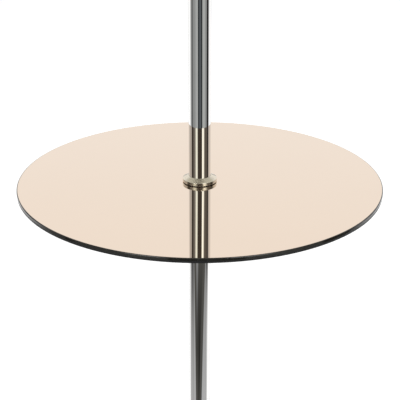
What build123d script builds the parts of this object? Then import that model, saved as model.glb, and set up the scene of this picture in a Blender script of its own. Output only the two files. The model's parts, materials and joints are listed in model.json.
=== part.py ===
from build123d import *

import os
from math import cos, radians, sin, tan

# Floor lamp with a round mirror table clamped in its pole at about half height.
# Millimetres. +Z is up, the origin is the centre of the base's underside, and the switch
# knob faces -Y. Threads are left plain, as a pin in a hole with the clearance below.

# ---- fits --------------------------------------------------------------------------------
thread_gap = 0.10        # between a threaded part and its hole, per side
press_gap = 0.01         # between a pressed bush and its tube, per side
slide_gap = 0.05         # between a tube's end and the ring or hub that it seats in, per side
turn_gap = 0.20          # between faces that turn or slide on each other
loose_gap = 0.40         # round what only passes through a hole, per side

# ---- pole: two tubes of one size, joined by threaded lamp pipe ---------------------------
tube_radius = 12.7
tube_wall = 1.2
pipe_radius = 4.8
pipe_bore = 3.6
bush_length = 25.0
pipe_grip = 20.0         # how far a pipe screws into a bush
upper_tube_length = 582.0

# ---- rings round the pole, at the foot and on the table ----------------------------------
ring_radius = 19.6
ring_band = 3.6          # height of the straight side below the cone
ring_height = 7.0
ring_floor = 2.0         # thickness under the tube's end
ring_foot_bevel = 0.2
ring_edge_bevel = 0.3    # between the straight side and the cone

# ---- base --------------------------------------------------------------------------------
base_radius = 145.0
felt_thickness = 2.0
felt_inset = 3.0
cover_edge_height = 27.0
cover_top_height = 31.0
cover_flat_radius = 34.0
cover_shoulder = 8.0
cover_wall = 1.2
cover_lip = 3.0
weight_inset = 7.0       # from the cover's outside to the weight's rim
weight_thickness = 14.0
weight_boss_radius = 30.0
weight_pocket_radius = 22.0
weight_pocket_depth = 10.0
weight_chamfer = 2.0
channel_width = 10.0
channel_height = 8.0
washer_radius = 12.5
washer_thickness = 1.6
lock_washer_radius = 8.0
lock_washer_thickness = 1.0
lock_washer_slit = 1.2
nut_flats = 14.3
nut_thickness = 4.2
nut_crown_slope = 35.0   # degrees from upright of the cone that trims its corners
pipe_end_clearance = 1.2  # how far the pipe stands out of the nut

# ---- cord inlet at the back of the base --------------------------------------------------
inlet_height = 11.5
inlet_bore = 3.5
grommet_neck = 5.0
grommet_flange = 7.5
grommet_outer_thickness = 2.0
grommet_inner_thickness = 1.6

# ---- table -------------------------------------------------------------------------------
table_top_height = 580.0
table_radius = 210.0
mirror_thickness = 3.0
mirror_edge = 1.1         # radius of the pencil-polished edge
board_thickness = 2.5
board_inset = 0.3
table_hole = 6.2
ring_gasket_thickness = 0.8
ring_gasket_inset = 1.0
flange_gasket_thickness = 1.5
flange_gasket_inset = 2.0
flange_radius = 60.0
flange_rim = 2.0
flange_floor = 5.0       # thickness over the lower tube's end
flange_hub_radius = 17.0
flange_hub_length = 28.0
flange_web = 2.8
flange_web_radius = 12.0
sleeve_wall_gap = 0.1

# ---- neck and harp -----------------------------------------------------------------------
neck_radius = 14.0
neck_rim = 2.5
neck_height = 10.0
neck_top_radius = 8.5
neck_cove_radius = 9.0
saddle_thickness = 1.5
saddle_boss_radius = 11.0
saddle_width = 10.0
saddle_ear_width = 6.0
saddle_half_span = 31.9   # to the outside of the ears
saddle_bend = 3.0
saddle_ear_height = 20.0
saddle_shoulder = 5.0     # height of the wide part of the ears, where the sleeves rest
harp_height = 241.0
harp_half_width = 57.0
harp_wire = 1.8
harp_foot_thickness = 1.6
harp_leg_length = 44.0    # up to the first bend of the wire
harp_widest_low = 100.0
harp_widest_high = 172.0
harp_crown_half = 30.0
harp_leg_bend = 60.0
harp_side_bend = 140.0
harp_crown_bend = 34.0
sleeve_length = 14.0
sleeve_wall = 0.8
swivel_radius = 7.5
swivel_flange = 2.0
swivel_roof = 0.8         # between the wire's hole and the flange
swivel_depth = 4.2        # below the wire's centre
stud_radius = 3.175
stud_length = 15.0
stud_chamfer = 0.6

# ---- lamp socket, medium screw -----------------------------------------------------------
socket_radius = 16.0
socket_wall = 0.5
socket_cap_neck = 8.5
socket_cap_neck_height = 6.0
socket_cap_dome = 13.0
socket_cap_height = 24.0
socket_cap_wall = 0.6
socket_cap_bend = 4.0
socket_cap_overlap = 5.0
socket_height = 66.0
socket_lip = 1.0
liner_wall = 0.8
liner_shortfall = 1.5
body_low = 14.0
body_high = 40.0
terminal_flat = 11.0
terminal_height = 22.0
terminal_slot = 8.0
terminal_head_radius = 3.0
terminal_head = 2.0
terminal_shank_radius = 1.5
terminal_shank = 5.0
screw_shell_radius = 13.1  # inside
screw_shell_wall = 0.5
screw_shell_height = 24.0
screw_shell_floor_hole = 9.0
contact_width = 4.0
contact_thickness = 0.5
contact_half_length = 6.0
contact_rise = 3.4
contact_bend = 0.85

# ---- turn knob ---------------------------------------------------------------------------
knob_height = 32.0        # of its axis above the socket's seat
stem_radius = 1.6
stem_inner_end = 6.0
stem_hole = 3.0
knob_gap = 2.0            # between the socket's shell and the knob
knob_hub_radius = 4.6
knob_length = 17.0
knob_half_width = 8.0
knob_half_thickness = 2.4
knob_stem_depth = 8.0
knob_nose = 2.5          # length of the rounded end
knob_draft = 0.4

# ---- bulb --------------------------------------------------------------------------------
bulb_radius = 30.0
bulb_length = 108.0
bulb_tangent = 30.0       # degrees below the ball's equator where the neck's cone leaves it
bulb_neck_bend = 25.0
bulb_glass_wall = 1.0
bulb_cap_radius = 12.95
bulb_cap_wall = 0.4
bulb_cap_low = 3.0        # above the tip of the contact
bulb_cap_high = 24.0
bulb_cap_cone = 2.0
bulb_neck_depth = 10.0    # of the glass inside the cap
bulb_insulator_radius = 9.0
bulb_contact_radius = 4.5
bulb_contact_height = 1.2

# ---- shade -------------------------------------------------------------------------------
shade_top_radius = 178.0
shade_bottom_radius = 203.0
shade_height = 270.0
shade_drop = 12.0         # of the spider's washer below the shade's top edge
fabric_wall = 0.6
shade_liner_wall = 0.5
shade_glue = 0.02         # film between the fabric and its styrene backing
shade_wire = 1.5
spider_washer_radius = 15.0
spider_washer_thickness = 3.0
spider_hole = 3.7
spider_flat = 34.0        # how far out an arm runs level
spider_arms = 3
spider_first_arm = 90.0
spider_bend = 40.0
trim_thickness = 0.5
trim_width = 11.0

# ---- finial ------------------------------------------------------------------------------
finial_foot_radius = 7.5
finial_foot_height = 2.4
finial_cone_height = 2.4
finial_waist_radius = 4.6
finial_ball_radius = 8.5
finial_height = 34.0
finial_bore_depth = 15.5

# ---- heights and radii that follow -------------------------------------------------------
tube_bore = tube_radius - tube_wall
pipe_hole = pipe_radius + thread_gap
pipe_pass = pipe_radius + loose_gap
ring_seat_radius = tube_radius + slide_gap

cover_under = cover_top_height - cover_wall
weight_radius = base_radius - weight_inset
pocket_roof = felt_thickness + weight_pocket_depth
washer_low = pocket_roof - washer_thickness
lock_washer_low = washer_low - lock_washer_thickness
nut_low = lock_washer_low - nut_thickness
lower_tube_low = cover_top_height + ring_floor

board_low = table_top_height - mirror_thickness - board_thickness
mirror_low = table_top_height - mirror_thickness
flange_top = board_low - flange_gasket_thickness
lower_tube_high = flange_top - flange_floor
flange_low = lower_tube_high + flange_floor - flange_hub_length
table_ring_low = table_top_height + ring_gasket_thickness
upper_tube_low = table_ring_low + ring_floor
upper_tube_high = upper_tube_low + upper_tube_length

saddle_low = upper_tube_high + neck_height
socket_low = saddle_low + saddle_thickness
harp_top = saddle_low + harp_height
harp_leg_x = saddle_half_span + turn_gap + harp_foot_thickness / 2
sleeve_x = (saddle_half_span - saddle_thickness + harp_leg_x + harp_foot_thickness / 2) / 2
sleeve_low = saddle_low + saddle_shoulder + turn_gap
sleeve_bore = ((saddle_half_span + turn_gap / 2 + harp_foot_thickness - sleeve_x) ** 2
               + (saddle_ear_width / 2) ** 2) ** 0.5 + loose_gap
harp_foot_low = sleeve_low
harp_foot_high = saddle_low + saddle_ear_height + turn_gap
harp_wire_top = harp_top - swivel_flange - swivel_roof - slide_gap - harp_wire

bulb_neck = bulb_cap_radius - bulb_cap_wall - slide_gap
body_radius = socket_radius - socket_wall - liner_wall - 2 * slide_gap
screw_shell_low = socket_low + body_high
contact_top = screw_shell_low + contact_rise + contact_thickness
bulb_tip = contact_top + slide_gap
bulb_centre = bulb_tip + bulb_length - bulb_radius
knob_axis = socket_low + knob_height
knob_inner = socket_radius + knob_gap

spider_low = harp_top + turn_gap
shade_top = spider_low + spider_washer_thickness + shade_drop
shade_low = shade_top - shade_height
finial_low = spider_low + spider_washer_thickness + turn_gap


def shade_outside(height):
    # The outer radius of the shade's fabric at a height: a straight taper.
    share = (height - shade_low) / shade_height
    return shade_bottom_radius + (shade_top_radius - shade_bottom_radius) * share


def shade_ring_radius(height):
    # The wire ring's centre line: inside the fabric and its liner, touching the liner.
    inside = shade_outside(height) - fabric_wall - shade_glue - shade_liner_wall
    return inside - shade_wire - slide_gap * 2


def tube(outer, inner, low, high, bevel=0.0):
    with BuildPart() as piece:
        with BuildSketch(Plane.XY.offset(low)):
            Circle(outer)
            Circle(inner, mode=Mode.SUBTRACT)
        extrude(amount=high - low)
        if bevel:
            ends = piece.edges().filter_by(GeomType.CIRCLE).group_by(SortBy.RADIUS)[-1]
            chamfer(ends, bevel)
    return piece


def pole_ring(seat):
    # A turned ring: straight side, a low cone up to the tube, and a floor under the tube.
    with BuildPart() as ring:
        with BuildSketch(Plane.XZ):
            with BuildLine():
                Polyline(
                    (pipe_pass, seat),
                    (ring_radius - ring_foot_bevel, seat),
                    (ring_radius, seat + ring_foot_bevel),
                    (ring_radius, seat + ring_band - ring_edge_bevel),
                    (ring_radius - ring_edge_bevel, seat + ring_band),
                    (ring_seat_radius, seat + ring_height),
                    (ring_seat_radius, seat + ring_floor),
                    (pipe_pass, seat + ring_floor),
                    close=True,
                )
            make_face()
        revolve(axis=Axis.Z)
    return ring


# ---- base --------------------------------------------------------------------------------
with BuildPart() as base_felt:
    Cylinder(base_radius - felt_inset, felt_thickness, align=(Align.CENTER, Align.CENTER, Align.MIN))

# A cast iron disc with a boss that carries the cover, a pocket for the nut below, and a
# channel in its underside for the cord.
with BuildPart() as base_weight:
    with BuildSketch(Plane.XY.offset(felt_thickness)):
        Circle(weight_radius)
    extrude(amount=weight_thickness)
    rim = base_weight.edges().filter_by(GeomType.CIRCLE).sort_by(Axis.Z)[-1]
    chamfer(rim, weight_chamfer)
    with BuildSketch(Plane.XY.offset(felt_thickness + weight_thickness)):
        Circle(weight_boss_radius)
    extrude(amount=cover_under - felt_thickness - weight_thickness)
    with BuildSketch(Plane.XY.offset(felt_thickness)):
        Circle(weight_pocket_radius)
    extrude(amount=weight_pocket_depth, mode=Mode.SUBTRACT)
    with BuildSketch(Plane.XY.offset(felt_thickness)):
        with Locations((0, weight_radius / 2)):
            Rectangle(channel_width, weight_radius + channel_width)
    extrude(amount=channel_height, mode=Mode.SUBTRACT)
    with BuildSketch(Plane.XY.offset(pocket_roof)):
        Circle(pipe_pass)
    extrude(amount=cover_under - pocket_roof, mode=Mode.SUBTRACT)

# Spun steel cover: flat seat in the middle, a slight fall to the shoulder, a straight side and
# a turned-in lip. The cord's hole is at the back.
with BuildPart() as base_cover:
    with BuildSketch(Plane.XZ):
        with BuildLine():
            FilletPolyline(
                (pipe_pass, cover_top_height),
                (cover_flat_radius, cover_top_height),
                (base_radius, cover_edge_height),
                (base_radius, felt_thickness),
                (base_radius - cover_lip, felt_thickness),
                radius=(0, cover_shoulder, 0),
            )
            offset(amount=cover_wall, side=Side.RIGHT, kind=Kind.INTERSECTION)
        make_face()
    revolve(axis=Axis.Z)
    with BuildSketch(Plane.XZ.offset(-base_radius - cover_wall)):
        with Locations((0, inlet_height)):
            Circle(grommet_neck + slide_gap)
    extrude(amount=cover_wall + weight_inset, mode=Mode.SUBTRACT)

# Rubber grommet: two flanges that follow the cover's wall, joined by a neck through it.
with BuildPart() as cord_grommet:
    with BuildSketch(Plane.XZ.offset(-base_radius - grommet_outer_thickness)):
        with Locations((0, inlet_height)):
            Circle(grommet_flange)
    extrude(amount=grommet_outer_thickness + cover_wall + grommet_inner_thickness)
    with BuildSketch(Plane.XY):
        Circle(base_radius)
        Circle(base_radius - cover_wall, mode=Mode.SUBTRACT)
    extrude(amount=cover_edge_height, mode=Mode.SUBTRACT)
    with BuildSketch(Plane.XZ.offset(-base_radius - grommet_outer_thickness)):
        with Locations((0, inlet_height)):
            Circle(grommet_neck)
    extrude(amount=grommet_outer_thickness + cover_wall + grommet_inner_thickness)
    with BuildSketch(Plane.XZ.offset(-base_radius - grommet_outer_thickness)):
        with Locations((0, inlet_height)):
            Circle(inlet_bore)
    extrude(amount=grommet_outer_thickness + cover_wall + grommet_inner_thickness, mode=Mode.SUBTRACT)

base_washer = tube(washer_radius, pipe_pass, washer_low, pocket_roof)

with BuildPart() as base_lock_washer:
    with BuildSketch(Plane.XY.offset(lock_washer_low)):
        Circle(lock_washer_radius)
        Circle(pipe_pass, mode=Mode.SUBTRACT)
        with Locations((lock_washer_radius / 2, 0)):
            Rectangle(lock_washer_radius, lock_washer_slit, mode=Mode.SUBTRACT)
    extrude(amount=lock_washer_thickness)

with BuildPart() as base_nut:
    with BuildSketch(Plane.XY.offset(nut_low)):
        RegularPolygon(nut_flats / 2, 6, major_radius=False)
    extrude(amount=nut_thickness)
    with BuildSketch(Plane.XY.offset(nut_low)):
        Circle(nut_flats / 2)
    extrude(amount=nut_thickness, taper=-nut_crown_slope, mode=Mode.INTERSECT)
    with BuildSketch(Plane.XY.offset(nut_low)):
        Circle(pipe_hole)
    extrude(amount=nut_thickness, mode=Mode.SUBTRACT)

base_pipe = tube(pipe_radius, pipe_bore, nut_low - pipe_end_clearance, lower_tube_low + pipe_grip)
foot_ring = pole_ring(cover_top_height)

# ---- pole --------------------------------------------------------------------------------
lower_tube = tube(tube_radius, tube_bore, lower_tube_low, lower_tube_high)
upper_tube = tube(tube_radius, tube_bore, upper_tube_low, upper_tube_high)
bush_radius = tube_bore - press_gap
lower_tube_foot_bush = tube(bush_radius, pipe_hole, lower_tube_low, lower_tube_low + bush_length)
lower_tube_head_bush = tube(bush_radius, pipe_hole, lower_tube_high - bush_length, lower_tube_high)
upper_tube_foot_bush = tube(bush_radius, pipe_hole, upper_tube_low, upper_tube_low + bush_length)
upper_tube_head_bush = tube(bush_radius, pipe_hole, upper_tube_high - bush_length, upper_tube_high)

# ---- table -------------------------------------------------------------------------------
# Mirror glass on a backing board, held between two gaskets by the flange on the lower tube
# and the ring under the upper tube, which the table's pipe draws together.
with BuildPart() as table_mirror:
    with BuildSketch(Plane.XY.offset(mirror_low)):
        Circle(table_radius)
        Circle(table_hole, mode=Mode.SUBTRACT)
    extrude(amount=mirror_thickness)
    rim = table_mirror.edges().filter_by(GeomType.CIRCLE).filter_by(
        lambda edge: edge.radius > table_radius / 2
    )
    fillet(rim.sort_by(Axis.Z)[-1], mirror_edge)

table_board = tube(table_radius - board_inset, table_hole, board_low, mirror_low)
table_sleeve = tube(table_hole - sleeve_wall_gap, pipe_hole, flange_top, table_ring_low)
table_pipe = tube(pipe_radius, pipe_bore, lower_tube_high - pipe_grip, upper_tube_low + pipe_grip)
table_ring_gasket = tube(
    ring_radius - ring_gasket_inset, table_hole, table_top_height, table_ring_low
)
table_flange_gasket = tube(
    flange_radius - flange_gasket_inset, table_hole, flange_top, board_low
)
table_ring = pole_ring(table_ring_low)

with BuildPart() as table_flange:
    with BuildSketch(Plane.XZ):
        with BuildLine():
            top = Line((pipe_pass, flange_top), (flange_radius, flange_top))
            under = FilletPolyline(
                top @ 1,
                (flange_radius, flange_top - flange_rim),
                (flange_hub_radius, flange_top - flange_floor - flange_web),
                (flange_hub_radius, flange_low),
                radius=(0, flange_web_radius),
            )
            Polyline(
                under @ 1,
                (ring_seat_radius, flange_low),
                (ring_seat_radius, lower_tube_high),
                (pipe_pass, lower_tube_high),
                top @ 0,
            )
        make_face()
    revolve(axis=Axis.Z)

# ---- neck and harp -----------------------------------------------------------------------
# A turned cap on the upper tube's end, with a cove up to its small top.
with BuildPart() as neck_cap:
    with BuildSketch(Plane.XZ):
        with BuildLine():
            side = Polyline(
                (pipe_pass, upper_tube_high),
                (neck_radius, upper_tube_high),
                (neck_radius, upper_tube_high + neck_rim),
            )
            cove = RadiusArc(side @ 1, (neck_top_radius, saddle_low), -neck_cove_radius)
            Polyline(cove @ 1, (pipe_pass, saddle_low), side @ 0)
        make_face()
    revolve(axis=Axis.Z)

head_pipe = tube(
    pipe_radius, pipe_bore, upper_tube_high - pipe_grip, socket_low + socket_cap_neck_height
)

# Stamped strip, bent up at both ends into ears, with a round boss under the socket.
with BuildPart() as harp_saddle:
    with BuildSketch(Plane.XZ.offset(-saddle_width / 2)):
        with BuildLine():
            FilletPolyline(
                (-saddle_half_span, saddle_low + saddle_ear_height),
                (-saddle_half_span, saddle_low),
                (saddle_half_span, saddle_low),
                (saddle_half_span, saddle_low + saddle_ear_height),
                radius=saddle_bend,
            )
            offset(amount=saddle_thickness, side=Side.LEFT)
        make_face()
    extrude(amount=saddle_width)
    ear_cut = saddle_ear_height - saddle_shoulder
    with BuildSketch(Plane.YZ.offset(-saddle_half_span)):
        for edge in (-1, 1):
            with Locations((edge * (saddle_ear_width + saddle_width) / 2,
                            saddle_low + saddle_shoulder + ear_cut / 2)):
                Rectangle(saddle_width, ear_cut)
    extrude(amount=2 * saddle_half_span, mode=Mode.SUBTRACT)
    with BuildSketch(Plane.XY.offset(saddle_low)):
        Circle(saddle_boss_radius)
    extrude(amount=saddle_thickness)
    with BuildSketch(Plane.XY.offset(saddle_low)):
        Circle(pipe_pass)
    extrude(amount=saddle_thickness, mode=Mode.SUBTRACT)

# One bent wire with flattened feet: straight legs, full sides and a level crown.
with BuildPart() as harp:
    harp_corners = [
        (harp_leg_x, harp_foot_low),
        (harp_leg_x, saddle_low + harp_leg_length),
        (harp_half_width, saddle_low + harp_widest_low),
        (harp_half_width, saddle_low + harp_widest_high),
        (harp_crown_half, harp_wire_top),
    ]
    harp_bends = [harp_leg_bend, harp_side_bend, harp_side_bend, harp_crown_bend]
    with BuildLine() as harp_line:
        FilletPolyline(
            *[(x, 0, z) for x, z in harp_corners],
            *[(-x, 0, z) for x, z in reversed(harp_corners)],
            radius=harp_bends + harp_bends[::-1],
        )
    with BuildSketch(Plane.XY.offset(harp_foot_low)):
        with Locations((harp_leg_x, 0)):
            Circle(harp_wire)
    sweep(path=harp_line.line)
    for hand in (-1, 1):
        with BuildSketch(Plane.XY.offset(harp_foot_low)):
            with Locations((hand * harp_leg_x, 0)):
                Circle(harp_wire + loose_gap)
        extrude(amount=harp_foot_high - harp_foot_low, mode=Mode.SUBTRACT)
        with BuildSketch(Plane.XY.offset(harp_foot_low)):
            with Locations((hand * harp_leg_x, 0)):
                Rectangle(harp_foot_thickness, saddle_ear_width)
        extrude(amount=harp_foot_high - harp_foot_low)


def harp_sleeve(hand):
    # The locking sleeve holds a foot of the harp against its ear.
    with BuildPart() as sleeve:
        with BuildSketch(Plane.XY.offset(sleeve_low)):
            with Locations((hand * sleeve_x, 0)):
                Circle(sleeve_bore + sleeve_wall)
                Circle(sleeve_bore, mode=Mode.SUBTRACT)
        extrude(amount=sleeve_length)
    return sleeve


harp_sleeve_left = harp_sleeve(-1)
harp_sleeve_right = harp_sleeve(1)

# The swivel is closed round the crown of the wire and carries the finial's stud.
with BuildPart() as harp_swivel:
    with BuildSketch(Plane.XY.offset(harp_wire_top - swivel_depth)):
        Circle(swivel_radius - swivel_flange)
    extrude(amount=harp_top - harp_wire_top + swivel_depth)
    with BuildSketch(Plane.XY.offset(harp_top - swivel_flange)):
        Circle(swivel_radius)
    extrude(amount=swivel_flange)
    with BuildSketch(Plane.XY.offset(harp_top)):
        Circle(stud_radius)
    extrude(amount=stud_length)
    chamfer(harp_swivel.edges().sort_by(Axis.Z)[-1], stud_chamfer)
    with BuildSketch(Plane.YZ.offset(-swivel_radius)):
        with Locations((0, harp_wire_top)):
            Circle(harp_wire + slide_gap)
    extrude(amount=2 * swivel_radius, mode=Mode.SUBTRACT)

# ---- socket ------------------------------------------------------------------------------
with BuildPart() as socket_cap:
    cap_radius = socket_radius + slide_gap + socket_cap_wall
    with BuildSketch(Plane.XZ):
        with BuildLine():
            FilletPolyline(
                (pipe_hole, socket_low),
                (socket_cap_neck, socket_low),
                (socket_cap_neck, socket_low + socket_cap_neck_height),
                (cap_radius, socket_low + socket_cap_dome),
                (cap_radius, socket_low + socket_cap_height),
                radius=(0, 0, socket_cap_bend),
            )
            offset(amount=socket_cap_wall, side=Side.LEFT, kind=Kind.INTERSECTION)
        make_face()
    revolve(axis=Axis.Z)

with BuildPart() as socket_shell:
    with BuildSketch(Plane.XZ):
        with BuildLine():
            Polyline(
                (socket_radius, socket_low + socket_cap_height - socket_cap_overlap),
                (socket_radius, socket_low + socket_height - socket_wall),
                (socket_radius - socket_wall, socket_low + socket_height),
                (socket_radius - socket_wall - socket_lip, socket_low + socket_height),
            )
            offset(amount=socket_wall, side=Side.LEFT, kind=Kind.INTERSECTION)
        make_face()
    revolve(axis=Axis.Z)
    with BuildSketch(Plane.XZ):
        with Locations((0, knob_axis)):
            Circle(stem_hole)
    extrude(amount=knob_inner, mode=Mode.SUBTRACT)

with BuildPart() as socket_liner:
    liner_radius = socket_radius - socket_wall - slide_gap
    with BuildSketch(Plane.XY.offset(socket_low + socket_cap_height - socket_cap_overlap)):
        Circle(liner_radius)
        Circle(liner_radius - liner_wall, mode=Mode.SUBTRACT)
    extrude(amount=socket_height - socket_cap_height + socket_cap_overlap - liner_shortfall)
    with BuildSketch(Plane.XZ):
        with Locations((0, knob_axis)):
            Circle(stem_hole)
    extrude(amount=knob_inner, mode=Mode.SUBTRACT)

# Moulded block with the switch's bore in front and a flat with a screw hole at each side.
with BuildPart() as socket_body:
    with BuildSketch(Plane.XY.offset(socket_low + body_low)):
        Circle(body_radius)
    extrude(amount=body_high - body_low)
    with BuildSketch(Plane.XZ.offset(-body_radius)):
        for hand in (-1, 1):
            with Locations((hand * (terminal_flat + body_radius / 2), socket_low + terminal_height)):
                Rectangle(body_radius, terminal_slot)
    extrude(amount=2 * body_radius, mode=Mode.SUBTRACT)
    with BuildSketch(Plane.YZ.offset(terminal_flat)):
        with Locations((0, socket_low + terminal_height)):
            Circle(terminal_shank_radius + thread_gap)
    extrude(amount=-2 * terminal_flat, mode=Mode.SUBTRACT)
    with BuildSketch(Plane.XZ.offset(stem_inner_end)):
        with Locations((0, knob_axis)):
            Circle(stem_radius + slide_gap)
    extrude(amount=body_radius, mode=Mode.SUBTRACT)

with BuildPart() as socket_terminals:
    for hand in (-1, 1):
        with BuildSketch(Plane.YZ.offset(hand * terminal_flat)):
            with Locations((0, socket_low + terminal_height)):
                Circle(terminal_head_radius)
        extrude(amount=hand * terminal_head)
        with BuildSketch(Plane.YZ.offset(hand * terminal_flat)):
            with Locations((0, socket_low + terminal_height)):
                Circle(terminal_shank_radius)
        extrude(amount=-hand * terminal_shank)

with BuildPart() as socket_screw_shell:
    with BuildSketch(Plane.XZ):
        with BuildLine():
            Polyline(
                (screw_shell_floor_hole, screw_shell_low),
                (screw_shell_radius + screw_shell_wall, screw_shell_low),
                (screw_shell_radius + screw_shell_wall, screw_shell_low + screw_shell_height),
            )
            offset(amount=screw_shell_wall, side=Side.LEFT, kind=Kind.INTERSECTION)
        make_face()
    revolve(axis=Axis.Z)

with BuildPart() as socket_contact:
    with BuildSketch(Plane.XZ.offset(-contact_width / 2)):
        with BuildLine():
            FilletPolyline(
                (-contact_half_length, screw_shell_low),
                (-contact_half_length / 2, screw_shell_low),
                (0, screw_shell_low + contact_rise),
                (contact_half_length / 2, screw_shell_low + contact_rise),
                radius=contact_bend,
            )
            offset(amount=contact_thickness, side=Side.LEFT)
        make_face()
    extrude(amount=contact_width)

# ---- switch ------------------------------------------------------------------------------
with BuildPart() as switch_stem:
    with BuildSketch(Plane.XZ.offset(stem_inner_end + slide_gap)):
        with Locations((0, knob_axis)):
            Circle(stem_radius)
    extrude(amount=knob_inner + knob_stem_depth - stem_inner_end - slide_gap)

# A moulded knob: a round hub that flattens outwards into a finger paddle with a thin end.
with BuildPart() as switch_knob:
    for reach, half_width, half_thickness in (
        (0, knob_hub_radius, knob_hub_radius - knob_draft),
        (knob_length - knob_nose, knob_half_width, knob_half_thickness),
        (knob_length, knob_half_width - knob_nose, knob_half_thickness - knob_draft),
    ):
        with BuildSketch(Plane.XZ.offset(knob_inner + reach)):
            with Locations((0, knob_axis)):
                Ellipse(half_width, half_thickness)
    loft()
    with BuildSketch(Plane.XZ.offset(knob_inner)):
        with Locations((0, knob_axis)):
            Circle(stem_radius)
    extrude(amount=knob_stem_depth, mode=Mode.SUBTRACT)

# ---- bulb --------------------------------------------------------------------------------
with BuildPart() as bulb_glass:
    lean = radians(bulb_tangent)
    leave = (bulb_radius * cos(lean), bulb_centre - bulb_radius * sin(lean))
    cone_foot = leave[1] - (leave[0] - bulb_neck) / tan(lean)
    with BuildSketch(Plane.XZ):
        with BuildLine():
            FilletPolyline(
                (bulb_neck, bulb_tip + bulb_cap_high - bulb_neck_depth),
                (bulb_neck, cone_foot),
                leave,
                radius=bulb_neck_bend,
            )
            ThreePointArc(
                leave,
                (bulb_radius * cos(lean), bulb_centre + bulb_radius * sin(lean)),
                (0, bulb_centre + bulb_radius),
            )
            offset(amount=bulb_glass_wall, side=Side.LEFT)
        make_face()
    revolve(axis=Axis.Z)

with BuildPart() as bulb_cap:
    with BuildSketch(Plane.XZ):
        with BuildLine():
            Polyline(
                (bulb_insulator_radius, bulb_tip + bulb_cap_low),
                (bulb_cap_radius, bulb_tip + bulb_cap_low + bulb_cap_cone),
                (bulb_cap_radius, bulb_tip + bulb_cap_high),
            )
            offset(amount=bulb_cap_wall, side=Side.LEFT, kind=Kind.INTERSECTION)
        make_face()
    revolve(axis=Axis.Z)

with BuildPart() as bulb_insulator:
    with BuildSketch(Plane.XZ):
        with BuildLine():
            Polyline(
                (0, bulb_tip + bulb_contact_height),
                (bulb_contact_radius, bulb_tip + bulb_contact_height),
                (bulb_insulator_radius, bulb_tip + bulb_cap_low),
                (0, bulb_tip + bulb_cap_low),
                close=True,
            )
        make_face()
    revolve(axis=Axis.Z)

with BuildPart() as bulb_contact:
    with BuildSketch(Plane.XY.offset(bulb_tip)):
        Circle(bulb_contact_radius)
    extrude(amount=bulb_contact_height)

# ---- shade -------------------------------------------------------------------------------
def shade_layer(outset, thickness):
    with BuildPart() as layer:
        with BuildSketch(Plane.XZ):
            with BuildLine():
                Polyline(
                    (shade_outside(shade_low) - outset, shade_low),
                    (shade_outside(shade_top) - outset, shade_top),
                    (shade_outside(shade_top) - outset - thickness, shade_top),
                    (shade_outside(shade_low) - outset - thickness, shade_low),
                    close=True,
                )
            make_face()
        revolve(axis=Axis.Z)
    return layer


def shade_ring(height):
    with BuildPart() as ring:
        with BuildSketch(Plane.XZ):
            with Locations((shade_ring_radius(height), height)):
                Circle(shade_wire)
        revolve(axis=Axis.Z)
    return ring


def arm_plane(turn):
    # The upright plane of one spider arm: across is outwards from the centre.
    return Plane.XZ.rotated((0, 0, spider_first_arm + turn * 360 / spider_arms))


def shade_trim(edge, up, notches=0):
    # Tape over the fabric's edge and round the wire ring inside it, with a notch at each arm.
    # up is 1 at the top edge and -1 at the bottom edge.
    wrap = shade_wire + slide_gap
    ring_x = shade_ring_radius(edge - up * wrap)
    with BuildPart() as trim:
        with BuildSketch(Plane.XZ):
            with BuildLine():
                Polyline(
                    (shade_outside(edge - up * trim_width), edge - up * trim_width),
                    (shade_outside(edge), edge),
                    (ring_x - wrap, edge),
                    (ring_x - wrap, edge - 2 * up * wrap),
                )
                offset(
                    amount=trim_thickness,
                    side=Side.RIGHT if up > 0 else Side.LEFT,
                    kind=Kind.INTERSECTION,
                )
            make_face()
        revolve(axis=Axis.Z)
        for turn in range(notches):
            inner = arm_plane(turn).from_local_coords((spider_flat, spider_low + shade_wire))
            outer = arm_plane(turn).from_local_coords((ring_x, edge - up * wrap))
            with BuildSketch(Plane(origin=outer, z_dir=inner - outer)):
                Circle(shade_wire + slide_gap)
            extrude(amount=2 * wrap + trim_thickness, mode=Mode.SUBTRACT)
    return trim


ring_drop = shade_wire + slide_gap
shade_fabric = shade_layer(0, fabric_wall)
shade_liner = shade_layer(fabric_wall + shade_glue, shade_liner_wall)
shade_top_ring = shade_ring(shade_top - ring_drop)
shade_bottom_ring = shade_ring(shade_low + ring_drop)
shade_top_trim = shade_trim(shade_top, 1, notches=spider_arms)
shade_bottom_trim = shade_trim(shade_low, -1)

# Washer with wire arms that run level, then rise to the top ring, where they are welded.
with BuildPart() as shade_spider:
    with BuildSketch(Plane.XY.offset(spider_low)):
        Circle(spider_washer_radius)
    extrude(amount=spider_washer_thickness)
    arm_height = spider_low + shade_wire
    top_ring_height = shade_top - ring_drop
    top_ring_centre = shade_ring_radius(top_ring_height)
    for turn in range(spider_arms):
        with BuildLine(arm_plane(turn)) as arm:
            FilletPolyline(
                (spider_washer_radius / 2, arm_height),
                (spider_flat, arm_height),
                (top_ring_centre, top_ring_height),
                radius=spider_bend,
            )
        with BuildSketch(Plane(origin=arm.line @ 0, z_dir=arm.line % 0)):
            Circle(shade_wire)
        sweep(path=arm.line)
    with BuildSketch(Plane.XZ):
        with Locations((top_ring_centre, top_ring_height)):
            Circle(shade_wire + slide_gap)
    revolve(axis=Axis.Z, mode=Mode.SUBTRACT)
    with BuildSketch(Plane.XY.offset(spider_low)):
        Circle(spider_hole)
    extrude(amount=spider_washer_thickness, mode=Mode.SUBTRACT)

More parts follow.
